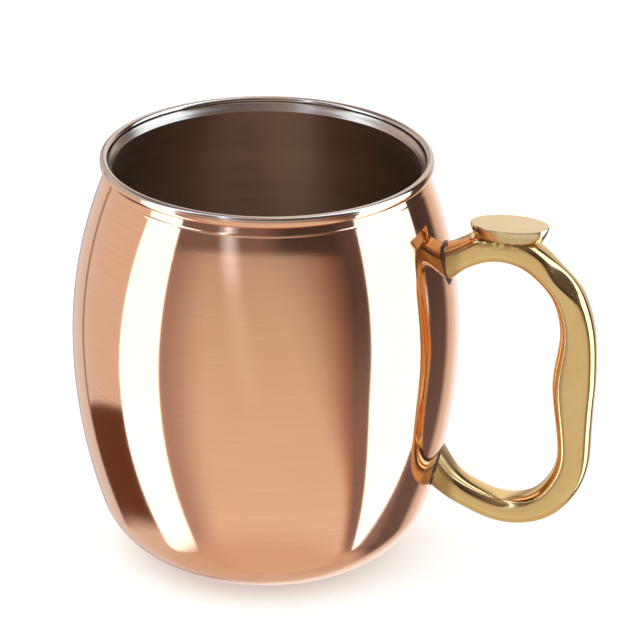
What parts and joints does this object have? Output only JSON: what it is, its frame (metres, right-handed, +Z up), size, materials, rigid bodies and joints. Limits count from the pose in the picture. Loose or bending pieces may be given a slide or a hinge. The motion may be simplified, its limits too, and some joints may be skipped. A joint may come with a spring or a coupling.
{
  "type": "barrel mug",
  "caption": "Barrel-shaped drinking mug: copper jacket over a steel lining with a rolled lip, and a cast brass handle with a flat thumb rest.",
  "frame": {"origin": "centre of the flat standing face", "axes": "+Z up along the barrel's axis, +X towards the handle"},
  "size_m": [0.1283, 0.094, 0.1025],
  "materials": {
    "stainless_steel": "satin",
    "polished_copper": "polished, with a fine brushing round the barrel",
    "cast_brass": "polished",
    "silver_solder": "satin"
  },
  "bodies": {
    "root": {"steel_liner": "stainless_steel", "copper_shell": "polished_copper", "handle": "cast_brass", "thumb_rest": "cast_brass", "upper_solder_seam": "silver_solder", "lower_solder_seam": "silver_solder"}
  },
  "joints": []
}
